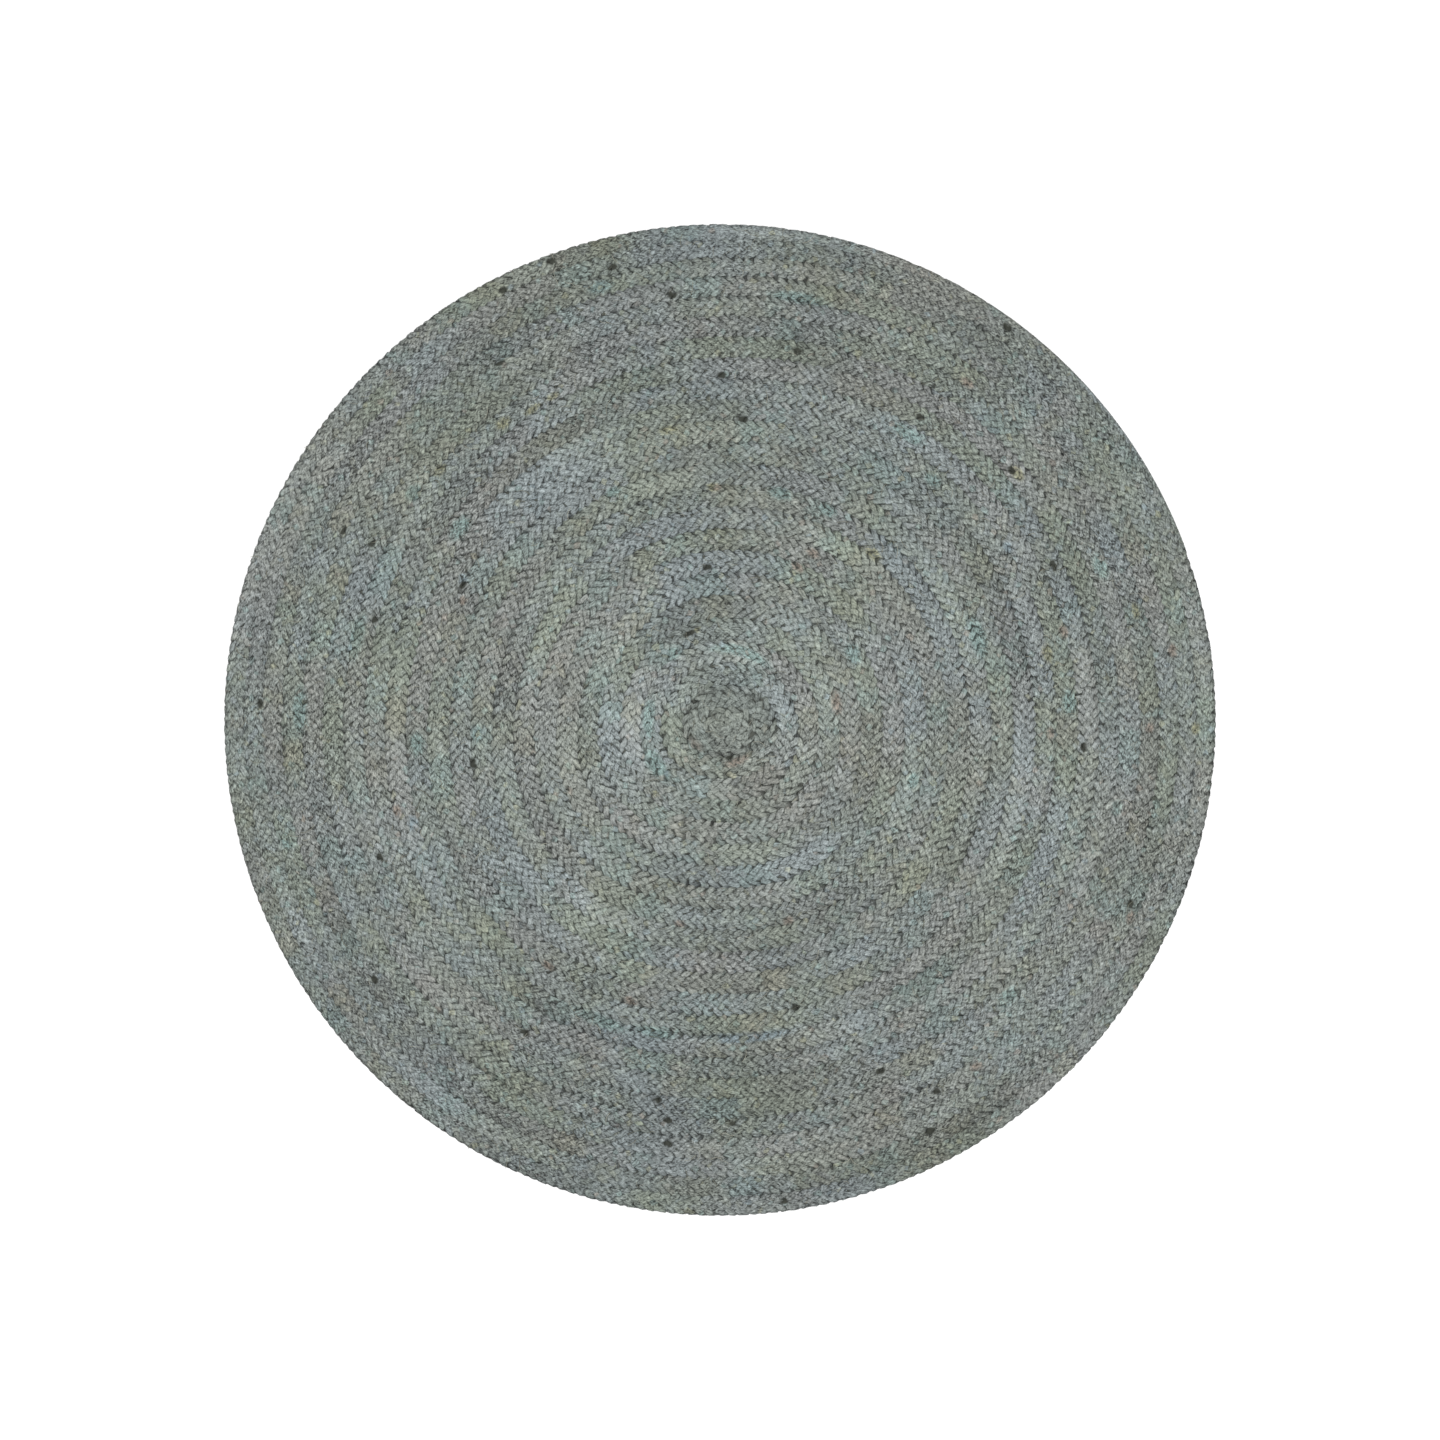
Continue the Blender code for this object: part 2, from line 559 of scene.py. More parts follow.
def lay_on_line(tree, given, points, along):
    zigzag, lift = weave(given, along)
    drift, fullness, heave, slide = strayed(tree, given, along)
    out = zigzag.size()
    sideways = out.maths("SMOOTH_MIN", EDGE_REACH, EDGE_ROUND) * zigzag.maths("SIGN")
    edge = out.between(*NEAR_EDGE)

    line_shape = tree.node("GeometryNodeObjectInfo", None, {"Object": given["Line"]})["Geometry"]
    radius = tree.node("GeometryNodeInputRadius")[0]
    sample_at = {"Curves": line_shape, "Value": radius, "Length": along + slide}
    sampled = tree.node("GeometryNodeSampleCurve", {"mode": "LENGTH"}, sample_at)
    half_width = sampled["Value"]
    scale = (half_width / (ROW_WIDTH / 2)).maths("MINIMUM", 1.0)

    outward = tree.vector_maths("CROSS_PRODUCT", {0: (0, 0, 1), 1: sampled["Tangent"]})[0]
    shift = (sideways / ROW_EDGE + drift * (DRIFT - edge * DRIFT_HELD)) * half_width
    sideways_move = tree.vector_maths("SCALE", {"Vector": outward, "Scale": shift})[0]
    height = lift * (1 + heave * HEAVE) * given["Rise"] * scale + THICKNESS / 2
    raised = {0: sampled["Position"], 1: KEEP_FLAT, 2: tree.vector(0.0, 0.0, height)}
    raised = tree.vector_maths("MULTIPLY_ADD", raised)[0]
    laid = placed(tree, points, tree.vector_maths("ADD", {0: raised, 1: sideways_move})[0])
    laid = stored(tree, laid, "side", zigzag / ROW_EDGE)
    laid = stored(tree, laid, "lift", lift)

    full = FULLNESS + FULLER_CROSSING * lift * lift - THINNER_EDGE * edge + fullness * FULLNESS_STRAY
    laid = tree.node("GeometryNodeSetCurveRadius", None, {"Curve": laid, "Radius": full * scale})[0]
    return tree.node("GeometryNodeSetCurveNormal", {"mode": "Z_UP"}, {"Curve": laid})[0]


# %% [markdown]
# The points become a skin with a flattened outline, as the braid presses its strands. Each of its points
# keeps its place in that outline. What would reach through the floor is pressed flat on it, and the
# last row is drawn in softly to the rug's full radius.

# %% The skin
RIM_SOFTNESS = 0.003
RIM_REACH = RUG_RADIUS + RIM_SOFTNESS / 6  # a smooth minimum takes a sixth of its softness off here
ON_FLOOR = (-9, -9, 0)  # lower than any place in the rug, apart from its third number, the floor


def skin(tree, given, laid):
    circle = {"Resolution": STRAND_SIDES, "Radius": 1.0}
    circle = tree.node("GeometryNodeCurvePrimitiveCircle", None, circle)[0]
    flat = tree.vector(given["Width"] / 2, given["Thickness"] / 2, 1.0)
    outline = tree.node("GeometryNodeTransform", None, {"Geometry": circle, "Scale": flat})[0]
    outline = stored(tree, outline, "across", place_now(tree), "FLOAT_VECTOR")
    tube = {"Curve": laid, "Profile Curve": outline, "Fill Caps": True}
    tube = tree.node("GeometryNodeCurveToMesh", None, tube)[0]

    now = place_now(tree)
    radius = radius_of(tree, now).at_least(RUG_RADIUS / 2)
    draw_in = radius.maths("SMOOTH_MIN", RIM_REACH, RIM_SOFTNESS) / radius
    drawn = tree.vector_maths("MULTIPLY", {0: now, 1: tree.vector(draw_in, draw_in, 1.0)})[0]
    tube = placed(tree, tube, tree.vector_maths("MAXIMUM", {0: drawn, 1: ON_FLOOR})[0])
    return tree.node("GeometryNodeSetShadeSmooth", None, {"Geometry": tube, "Shade Smooth": True})[0]


# %% The strand tree
def strand_tree():
    group = new_group(
        "lay_strand",
        (
            ("Line", "NodeSocketObject", None),
            ("Length", "NodeSocketFloat", braid_length),
            ("Strand", "NodeSocketFloat", 0.0),
            ("Stitch", "NodeSocketFloat", STITCH),
            ("Width", "NodeSocketFloat", STRAND_WIDTH),
            ("Thickness", "NodeSocketFloat", STRAND_THICKNESS),
            ("Rise", "NodeSocketFloat", STRAND_RISE),
            ("Material", "NodeSocketMaterial", None),
        ),
    )
    tree = Tree(group)
    given = tree.node("NodeGroupInput")
    points, along = straight_row(tree, given)
    laid = lay_on_line(tree, given, points, along)
    finish_group(tree, skin(tree, given, laid), given["Material"])
    return group


def made_by(group, name, values):
    """A plain mesh object from a tree: the modifier is set, read once and thrown away."""
    holder = added(name, bpy.data.meshes.new(name))
    modifier = holder.modifiers.new("nodes", "NODES")
    modifier.node_group = group
    sockets = {item.name: item.identifier for item in group.interface.items_tree if item.in_out == "INPUT"}
    for label, value in values.items():
        modifier[sockets[label]] = value
    evaluated = holder.evaluated_get(bpy.context.evaluated_depsgraph_get())
    mesh = bpy.data.meshes.new_from_object(evaluated)
    mesh.name = name
    holder.modifiers.clear()
    holder.data = mesh
    return holder


# %% [markdown]
# ## Marks that can be read in the photograph
#
# The jute was dyed before it was braided, and it took the dye unevenly. The strongest marks are few
# enough to name: a tuft of teal, blue, straw or rust, a stretch that is dim or light, and, as painted
# shade, near-black flecks where deep gaps between the stitches show. Each is a place in the photograph
# in pixels, then its length along the row and its width across it.

# %% The marks
PICTURE_MIDDLE = (719.8, 719.5)
METRES_PER_PIXEL = 2 * RUG_RADIUS / RUG_PIXELS
FLECK = (6, 4)
MARKS = {
    # painted shade: near-black flecks where deep gaps between the stitches show
    "dark": [
        ((797, 351), FLECK), ((672, 295), FLECK), ((612, 267), FLECK), ((551, 261), FLECK),
        ((503, 290), FLECK), ((500, 363), (6, 3)), ((463, 585), FLECK), ((743, 419), FLECK),
        ((722, 375), FLECK), ((689, 633), (9, 3)), ((1053, 565), (7, 4)), ((1011, 470), FLECK),
        ((372, 542), FLECK), ((375, 618), FLECK), ((343, 530), FLECK), ((380, 857), FLECK),
        ((525, 1032), (7, 4)), ((375, 979), FLECK), ((657, 1099), FLECK), ((668, 1120), FLECK),
        ((668, 1143), FLECK), ((733, 1123), (6, 3)), ((795, 1007), FLECK), ((880, 1070), FLECK),
        ((937, 1090), FLECK), ((930, 1130), FLECK), ((783, 1200), FLECK), ((1130, 903), FLECK),
        ((1083, 747), FLECK), ((920, 417), FLECK), ((1007, 327), FLECK), ((473, 763), FLECK),
        ((691, 735), (4, 3)), ((702, 751), (4, 2)), ((729, 757), (5, 3)), ((260, 703), FLECK),
        ((707, 567), FLECK),
    ],
    "rust": [
        ((788, 920), (7, 5)), ((680, 923), (7, 4)), ((630, 1000), (9, 5)), ((548, 965), (8, 4)),
        ((397, 810), (8, 5)), ((967, 383), (9, 5)), ((977, 1065), (8, 5)), ((836, 702), (14, 6)),
        ((717, 487), (5, 4)), ((1063, 631), (8, 5)), ((1050, 733), (8, 4)), ((1130, 917), (8, 5)),
        ((1172, 650), (8, 5)), ((1149, 727), (6, 5)), ((813, 553), (9, 5)), ((463, 600), (6, 4)),
        ((695, 743), (12, 5)), ((737, 761), (15, 5)), ((797, 567), (9, 5)),
    ],
    "straw": [
        ((503, 423), (10, 6)), ((532, 409), (12, 4)), ((553, 396), (8, 4)), ((440, 470), (9, 5)),
        ((1047, 653), (12, 6)), ((1017, 473), (10, 6)), ((873, 553), (12, 6)), ((713, 487), (8, 5)),
        ((668, 430), (12, 5)), ((697, 629), (6, 3)), ((654, 792), (5, 4)), ((1195, 728), (7, 5)),
        ((1135, 610), (10, 4)),
    ],
    "teal": [
        ((977, 636), (26, 9)), ((933, 480), (10, 7)), ((907, 433), (22, 8)), ((460, 527), (16, 9)),
        ((413, 493), (10, 8)), ((357, 636), (26, 8)), ((417, 743), (12, 8)), ((477, 733), (10, 7)),
        ((600, 1020), (34, 7)), ((655, 1032), (24, 6)), ((1007, 997), (14, 8)), ((913, 780), (9, 6)),
        ((780, 493), (14, 7)), ((827, 510), (12, 7)), ((673, 653), (11, 7)), ((656, 765), (24, 9)),
        ((853, 653), (12, 8)), ((600, 287), (14, 7)), ((800, 298), (36, 6)), ((300, 710), (26, 8)),
        ((1100, 566), (15, 8)), ((1117, 807), (9, 6)), ((287, 840), (11, 7)), ((613, 492), (9, 6)),
        ((745, 652), (40, 6)), ((648, 718), (24, 7)), ((1069, 702), (14, 8)),
    ],
    "blue": [
        ((1007, 547), (7, 5)), ((413, 823), (9, 6)), ((745, 1037), (58, 6)), ((463, 578), (7, 5)),
    ],
    "dim": [
        ((666, 463), (75, 8)), ((735, 955), (85, 7)), ((1087, 605), (95, 9)), ((567, 553), (22, 8)),
        ((380, 900), (60, 14)), ((500, 330), (70, 12)), ((860, 1110), (80, 14)),
    ],
    "light": [
        ((1020, 820), (55, 40)), ((760, 640), (50, 30)), ((640, 800), (60, 30)), ((330, 760), (60, 25)),
    ],
}
print("marks:", {name: len(marks) for name, marks in MARKS.items()})

# %% [markdown]
# A mark is kept on the strands' points as a number from 0 to 1, which the finish reads. The fuzzy core
# is one mark more: an oval that is plainer in colour, with a darker line around it.

# %% Marks on the strands
CORE_MIDDLE = (728, 723)
CORE_SIZE = (84, 68)
CORE_REACH = 1.1  # where the core's own colour ends, as a share of its size
CORE_SOFTNESS = 0.2
CORE_RIM_WIDTH = 0.1


def to_rug(pixel):
    """A place in the photograph as metres from the rug's middle, with y upwards."""
    x, y = (pixel[axis] - PICTURE_MIDDLE[axis] for axis in (0, 1))
    return np.array((x, -y)) * METRES_PER_PIXEL


def mark_strength(points, marks):
    """How strongly each point is marked, 0 to 1: a soft spot that is longer along its row."""
    strength = np.zeros(len(points))
    for pixel, (length, width) in marks:
        middle = to_rug(pixel)
        outward = middle / np.linalg.norm(middle)
        apart = points[:, :2] - middle
        across = apart @ outward
        along = apart @ np.array((-outward[1], outward[0]))
        curved = across + along**2 / (2 * np.linalg.norm(middle))
        spot = (along / (length * METRES_PER_PIXEL)) ** 2 + (curved / (width * METRES_PER_PIXEL)) ** 2
        strength = np.maximum(strength, np.exp(-spot))
    return strength


def store(mesh, name, values):
    attribute = mesh.attributes.new(name, "FLOAT", "POINT")
    attribute.data.foreach_set("value", np.asarray(values, dtype=np.float32))


def mark(mesh):
    points = np.empty(len(mesh.vertices) * 3)
    mesh.vertices.foreach_get("co", points)
    points = points.reshape(-1, 3)
    for name, marks in MARKS.items():
        store(mesh, name, mark_strength(points, marks))
    from_core = (points[:, :2] - to_rug(CORE_MIDDLE)) / (np.array(CORE_SIZE) / 2 * METRES_PER_PIXEL)
    share = np.hypot(from_core[:, 0], from_core[:, 1])
    store(mesh, "core", np.clip((CORE_REACH - share) / CORE_SOFTNESS, 0, 1))
    store(mesh, "core_rim", np.exp(-(((share - 1) / CORE_RIM_WIDTH) ** 2)))


# %% [markdown]
# ## The jute
#
# Jute is matt and hairy: its fibres run along the strand, twisted a little, and each catches the light
# for itself. So the finest layer of the finish is a noise drawn out along the strand, read in the
# strand's own coordinates. The fuzz on top has been brushed along the rows, which is a second noise,
# drawn out along the rows. Both tint the jute and, as a bump, raise it. A third, longer noise draws thin
# dark lines where its value crosses the middle: painted shade in the gaps where threads have parted. And
# jute shines a little across its fibres, so a painted sheen makes the rows that run up and down the
# picture a shade lighter.

# %% The finish's sizes
FIBRE_LENGTH = 0.005
FIBRE_WIDTH = 0.0019
FIBRE_HEIGHT = 0.0006
COMB_LENGTH = 0.0034
COMB_WIDTH = 0.0017
THREAD_LENGTH = 0.008
THREAD_WIDTH = 0.0045
TWIST = 110  # radians in a metre of strand
STRAND_STRETCH = 1.41  # a strand is this much longer than its braid
LANE_START = 97  # metres between the parts of a noise that two strands read
NOT_ZERO = 1e-4  # keeps a division at the rug's middle from failing


# %% Noises
def read(tree, name, output="Fac"):
    return tree.node("ShaderNodeAttribute", {"attribute_name": name})[output]


def noise_along(tree, place, waves, detail=1.0):
    """Noise along a line, 0 to 1, with about this many waves in a metre."""
    settings = {"noise_dimensions": "1D"}
    inputs = {"W": place, "Scale": waves, "Detail": detail}
    return tree.node("ShaderNodeTexNoise", settings, inputs)["Fac"]


def noise_at(tree, place, waves, detail=1.0):
    """Noise in space, 0 to 1, with about this many waves in a metre."""
    inputs = {"Vector": place, "Scale": waves, "Detail": detail}
    return tree.node("ShaderNodeTexNoise", None, inputs)["Fac"]


def fibres(tree, strand_place):
    """Noise drawn out along the strand's twisted fibres, 0 to 1."""
    across = tree.parts(read(tree, "across", "Vector"))
    flat = tree.vector(0.0, across["X"], across["Y"])
    turned = {"Vector": flat, "Angle": strand_place * TWIST}
    wound = tree.parts(tree.node("ShaderNodeVectorRotate", {"rotation_type": "X_AXIS"}, turned)[0])
    y, z = wound["Y"] / FIBRE_WIDTH, wound["Z"] / FIBRE_WIDTH
    return noise_at(tree, tree.vector(strand_place / FIBRE_LENGTH, y, z), 1.0, 2.0)


def along_rows(tree, rug_place, length, width, detail):
    """Noise over the rug that is drawn out along its rows, 0 to 1."""
    place = tree.parts(rug_place)
    out = radius_of(tree, rug_place) / width
    return noise_at(tree, tree.vector(place["X"] / length, place["Y"] / length, out), 1.0, detail)


def painted_sheen(tree, rug_place):
    """Painted sheen: 1 where the rows run along Y, -1 where they run along X, as jute shines across its
    fibres.
    """
    place = tree.parts(rug_place)
    x, y = place["X"] * place["X"], place["Y"] * place["Y"]
    return (x - y) / (x + y + NOT_ZERO)


def places_of(tree):
    """Where a point is: along its strand, along the braid, in turns of the coil, and in the rug."""
    braid = read(tree, "along")
    return {
        "strand": braid * STRAND_STRETCH + read(tree, "lane") * LANE_START,
        "braid": braid,
        "turn": (braid / braid_length).maths("SQRT") * TURNS,
        "rug": tree.node("ShaderNodeTexCoord")["Object"],
    }


# %% [markdown]
# The dye changes slowly along the braid between a bluish, an olive and a rosy grey, and now and then a
# stretch of teal, blue, straw or rust was spun in. Single colours painted on the rug would ignore the
# braid. Noises along the strand and along the braid don't, and since neighbouring stitches belong to
# different strands, they give the rug its speckle.

# %% The dyes, as linear red, green and blue
BLUE_GREY = (0.149, 0.170, 0.172, 1.0)
OLIVE_GREY = (0.1415, 0.160, 0.133, 1.0)
ROSY_GREY = (0.157, 0.162, 0.154, 1.0)
TEAL = (0.131, 0.182, 0.172, 1.0)
STRAW = (0.157, 0.159, 0.104, 1.0)
RUST = (0.149, 0.127, 0.107, 1.0)
BLUE = (0.130, 0.165, 0.180, 1.0)
CORE_GREY = (0.136, 0.153, 0.139, 1.0)
SPUN_IN = (
    # the mark, its colour, where its noises start, how strong its stretches and how rare its tufts are
    ("teal", TEAL, 11.0, 0.5, 0.8),
    ("blue", BLUE, 23.0, 0.25, 0.85),
    ("straw", STRAW, 37.0, 0.35, 0.84),
    ("rust", RUST, 53.0, 0.25, 0.86),
)
# Each noise of the dyes, as its waves in a metre and its detail.
BRAID_DYE, STRAND_DYE, WIDE_DYE = (3.5, 3.0), (20, 1.0), (5, 2.0)
ROSY_WIDE, ROSY_BRAID = (5.5, 2.0), (3, 3.0)
SPUN_STRAND, SPUN_BRAID, TUFTS = (6, 1.0), (11, 2.0), (50, 0.0)
STRAND_SHARE, WIDE_SHARE, ROSY_BRAID_SHARE, SPUN_BRAID_SHARE = 0.25, 0.3, 0.65, 0.75
OLIVE_RANGE = (0.39, 0.61)
ROSY_START, ROSY_RANGE, ROSY_SHARE = 7.0, (0.42, 0.65), 0.75
SPUN_RANGE = (0.56, 0.68)
TUFT_START, TUFT_SOFTNESS, TUFT_SHARE = 3, 0.08, 0.6  # the first times the dye's own start
MARK_RANGE = (0.2, 0.8)
TINT_RANGE, TINT_LEAST, TINT_MORE = (0.3, 0.6), 0.5, 0.4  # light fibres take the dye better
CORE_SHARE = 0.7


def blend(first, second, share):
    """Two noises mixed, with this share of the second."""
    return first * (1 - share) + second * share


def greys(tree, places):
    """The jute's ground colour: bluish, olive or rosy, by stretch of braid, strand and part of the rug."""
    strand = noise_along(tree, places["strand"], *STRAND_DYE)
    slow = blend(noise_along(tree, places["braid"], *BRAID_DYE), strand, STRAND_SHARE)
    olive = blend(slow, noise_at(tree, places["rug"], *WIDE_DYE), WIDE_SHARE).between(*OLIVE_RANGE)
    rosy = noise_along(tree, places["braid"] + ROSY_START, *ROSY_BRAID)
    rosy = blend(noise_at(tree, places["rug"], *ROSY_WIDE), rosy, ROSY_BRAID_SHARE)
    colour = tree.mix(olive, BLUE_GREY, OLIVE_GREY)
    return tree.mix(rosy.between(*ROSY_RANGE) * ROSY_SHARE, colour, ROSY_GREY)


def spun_in(tree, places, fibre, colour):
    """The colour with its spun-in stretches, its single tufts and the marks in the same dyes."""
    takes = fibre.between(*TINT_RANGE) * TINT_MORE + TINT_LEAST
    for name, tint, start, strong, rare in SPUN_IN:
        stretch = noise_along(tree, places["braid"] + start, *SPUN_BRAID)
        strand = noise_along(tree, places["strand"] + start, *SPUN_STRAND)
        stretch = blend(strand, stretch, SPUN_BRAID_SHARE).between(*SPUN_RANGE) * strong
        tuft = noise_along(tree, places["strand"] + start * TUFT_START, *TUFTS)
        tuft = tuft.between(rare, rare + TUFT_SOFTNESS) * TUFT_SHARE
        marked = (read(tree, name) * (fibre + 0.5)).between(*MARK_RANGE)
        colour = tree.mix(stretch.at_least(tuft).at_least(marked) * takes, colour, tint)
    return tree.mix(read(tree, "core") * CORE_SHARE, colour, CORE_GREY)


# %% [markdown]
# How light the jute is changes at every size: from fibre to fibre, from stitch to stitch, along
# stretches of braid and over broad parts of the rug. Those noises are added up, each with its share. In
# the middle of the rug, which is used most, the jute is smoother and a little lighter.

# %% Lightness
LIGHTNESS = {
    # what it follows, where its noise starts, waves in a metre or in a turn, detail, share
    "stitch": ("strand", 5.0, 60, 1.0, 0.8),
    "skein": ("strand", 6.0, 2.5, 1.0, 0.25),
    "short": ("braid", 3.0, 6, 1.0, 0.3),
    "long": ("turn", 4.0, 5.0, 2.0, 0.6),
}
BASE = 1.01
AREA_WAVES, AREA_SHARE = 3.2, 0.2
FIBRE_SHARE = 2.1
COMB_SHARE = 2.5
HAIRY_WAVES, HAIRY_SHARE = 14, 0.9  # where the fuzz is thick, it is this much stronger
MIDDLE_RANGE = (0.35, 0.65)  # of a noise: almost all of its values lie there
WORN_FROM = 0.1  # metres from the middle
ROUGH, WORN_SMOOTH = 1.08, 0.38  # the fibres' contrast where nothing is worn, and what wear takes
UNWORN_LIGHT, WORN_LIGHT = 0.93, 0.22  # the lightness there, and what wear adds
# Thin dark lines of painted shade in the gaps where threads have parted
THREAD_GAP_PAINTED_SHADE, THREAD_LIGHT, THREAD_RANGE = 0.65, 0.38, (0.0, 0.04)
CORE_SHADE, CORE_RIM_SHADE = 0.11, 0.25
LIGHT_MARK, DIM_MARK = 0.06, 0.1
# Painted sheen: how much lighter the rows that run along Y are, and darker those along X
PAINTED_SHEEN_SHARE = 0.05


def lightness(tree, places, fibre, comb):
    """How light the jute is, about 1, and how much of that goes from stitch to stitch."""
    hairy = noise_at(tree, places["rug"], HAIRY_WAVES).between(*MIDDLE_RANGE) * HAIRY_SHARE + COMB_SHARE
    worn = 1 - radius_of(tree, places["rug"]).at_least(WORN_FROM) / RUG_RADIUS
    tone = ((fibre - 0.5) * FIBRE_SHARE + (comb - 0.5) * hairy) * (ROUGH - worn * WORN_SMOOTH)
    layers = {}
    for name, (follows, start, waves, detail, share) in LIGHTNESS.items():
        layers[name] = noise_along(tree, places[follows] + start, waves, detail) - 0.5
        tone = tone + layers[name] * share
    tone = tone + (noise_at(tree, places["rug"], AREA_WAVES) - 0.5) * AREA_SHARE + BASE

    # Thin dark lines of painted shade, in the gaps where threads have parted
    parted = (along_rows(tree, places["rug"], THREAD_LENGTH, THREAD_WIDTH, 1.0) - 0.5).size()
    tone = tone * (THREAD_GAP_PAINTED_SHADE + parted.between(*THREAD_RANGE) * THREAD_LIGHT)
    tone = tone * (1 - read(tree, "core") * CORE_SHADE - read(tree, "core_rim") * CORE_RIM_SHADE)
    tone = tone * (worn * WORN_LIGHT + UNWORN_LIGHT)
    tone = tone * (1 + read(tree, "light") * LIGHT_MARK - read(tree, "dim") * DIM_MARK)
    # Painted sheen: lighter where the rows run along Y
    return tone * (1 + painted_sheen(tree, places["rug"]) * PAINTED_SHEEN_SHARE), layers["stitch"]


# %% [markdown]
# Down between its neighbours a strand gets less light, and that shade is painted into its colour. That is
# on its flanks, underneath, and most of all at the seams between two rows where the sewing is loose. Its
# top is painted a little lighter.

# %% Painted shade in the seams
LOOSE_START, LOOSE_WAVES, LOOSE_RANGE = 90.0, 3.5, (0.45, 0.65)
TIGHT_WAVES = 28
OUTER_SIDE = (0.5, 1.0)  # of the row, from its middle to its outer edge
SEAM_SIDE = (0.3, 0.85)
# Painted shade: the lightness in mid-row, and what it takes off on the row's outer side and at both edges
OPEN_LIGHT, OUTER_PAINTED_SHADE, EDGE_PAINTED_SHADE = 1.03, 0.2, 0.05  # in mid-row, outside and at both edges
FLANK_RANGE = (0.72, 0.88)  # of half the strand's width
UNDER_RANGE = (-0.1, 0.2)  # of its lift
# The strand's top is painted lighter, and its flanks and underside get painted shade
TOP_LIGHT, FLANK_AND_UNDER_PAINTED_SHADE = 1.06, 0.6
ANY_DEPTH, SEAM_DEPTH, LOOSE_DEPTH = 0.55, 0.2, 0.5
EVEN_DEPTH, TIGHT_DEPTH, STITCH_DEPTH = 0.55, 0.4, 1.2


def painted_seam_shade(tree, places, tone, stitch):
    # Painted shade: duller on the row's outer side and edges, darker on the flanks and underneath, most at
    # loose seams
    side = read(tree, "side")
    loose = noise_along(tree, places["turn"] + LOOSE_START, LOOSE_WAVES).between(*LOOSE_RANGE)
    outer = side.between(*OUTER_SIDE) * loose
    tone = tone * (OPEN_LIGHT - outer * OUTER_PAINTED_SHADE - side.size() * EDGE_PAINTED_SHADE)
    flank = tree.parts(read(tree, "across", "Vector"))["X"]
    flank = (flank.size() / (STRAND_WIDTH / 2)).between(*FLANK_RANGE)
    under = 1 - read(tree, "lift").between(*UNDER_RANGE)
    at_seam = side.size().between(*SEAM_SIDE)
    tight = noise_at(tree, places["rug"], TIGHT_WAVES).between(*MIDDLE_RANGE)
    depth = ANY_DEPTH + at_seam * (loose * LOOSE_DEPTH + SEAM_DEPTH)
    depth = depth * (tight * TIGHT_DEPTH + stitch * STITCH_DEPTH + EVEN_DEPTH)
    return tone * (TOP_LIGHT - flank.at_least(under) * FLANK_AND_UNDER_PAINTED_SHADE * depth)


# %% The strands' jute
# Near-black painted shade of deep gaps between the stitches, close to the heart's darkest tone
GAP_SHADE_COLOUR = (0.022, 0.024, 0.018, 1.0)
GAP_SHADE_RANGE = (0.4, 0.7)
GAP_SHADE_SHARE = 0.95
DARKEST = 0.12  # of the dye's own lightness
BUMP_STRENGTH = 0.8
JUTE_ROUGHNESS, FIBRE_ROUGHNESS = 0.8, 0.25
JUTE_SPECULAR = 0.3


def strand_material():
    material, tree, shader = new_material("dyed_jute")
    places = places_of(tree)
    fibre = fibres(tree, places["strand"])
    comb = along_rows(tree, places["rug"], COMB_LENGTH, COMB_WIDTH, 2.0)
    colour = spun_in(tree, places, fibre, greys(tree, places))
    tone, stitch = lightness(tree, places, fibre, comb)
    tone = painted_seam_shade(tree, places, tone, stitch).at_least(DARKEST)
    colour = tree.vector_maths("SCALE", {"Vector": colour, "Scale": tone})[0]
    # Near-black flecks at the named marks: painted shade where deep gaps between the stitches show
    dark = (read(tree, "dark") * (fibre + comb + 0.1)).between(*GAP_SHADE_RANGE)
    bump = {"Strength": BUMP_STRENGTH, "Distance": FIBRE_HEIGHT, "Height": (fibre + comb) * 0.5}
    finish = {
        "Base Color": tree.mix(dark * GAP_SHADE_SHARE, colour, GAP_SHADE_COLOUR),
        "Roughness": JUTE_ROUGHNESS + fibre * FIBRE_ROUGHNESS,
        "Normal": tree.node("ShaderNodeBump", None, bump)["Normal"],
        "Specular IOR Level": JUTE_SPECULAR,
    }
    finish_shader(tree, shader, finish)
    return material


# %% [markdown]
# The heart of the braid is the same jute in shadow, seen only through the gaps between the stitches. It
# is a plain darker tone, with a soft noise over the rug so that the gaps aren't all alike. At the rim,
# where light reaches it, it has the strands' own tone.

# %% The heart's jute
HEART_DARK = (0.022, 0.024, 0.020, 1.0)
HEART_LIGHT = (0.060, 0.065, 0.055, 1.0)
HEART_RIM = (0.105, 0.118, 0.112, 1.0)
HEART_RIM_RANGE = (RUG_RADIUS - 0.006, RUG_RADIUS - 0.002)
HEART_WAVES = 120
HEART_ROUGHNESS = 0.95


def heart_material():
    material, tree, shader = new_material("jute_in_the_gaps")
    rug_place = tree.node("ShaderNodeTexCoord")["Object"]
    share = noise_at(tree, rug_place, HEART_WAVES, 2.0).between(*MIDDLE_RANGE)
    colour = tree.mix(share, HEART_DARK, HEART_LIGHT)
    colour = tree.mix(radius_of(tree, rug_place).between(*HEART_RIM_RANGE), colour, HEART_RIM)
    finish_shader(tree, shader, {"Base Color": colour, "Roughness": HEART_ROUGHNESS})
    return material


heart.data.materials.clear()
heart.data.materials.append(heart_material())
jute = strand_material()
print(f"jute: {len(jute.node_tree.nodes)} nodes")

# %% [markdown]
# With the tree, the marks and the jute in place, the five strands are laid one after the other. Each
# also keeps its own number, so that the dye can differ from strand to strand.

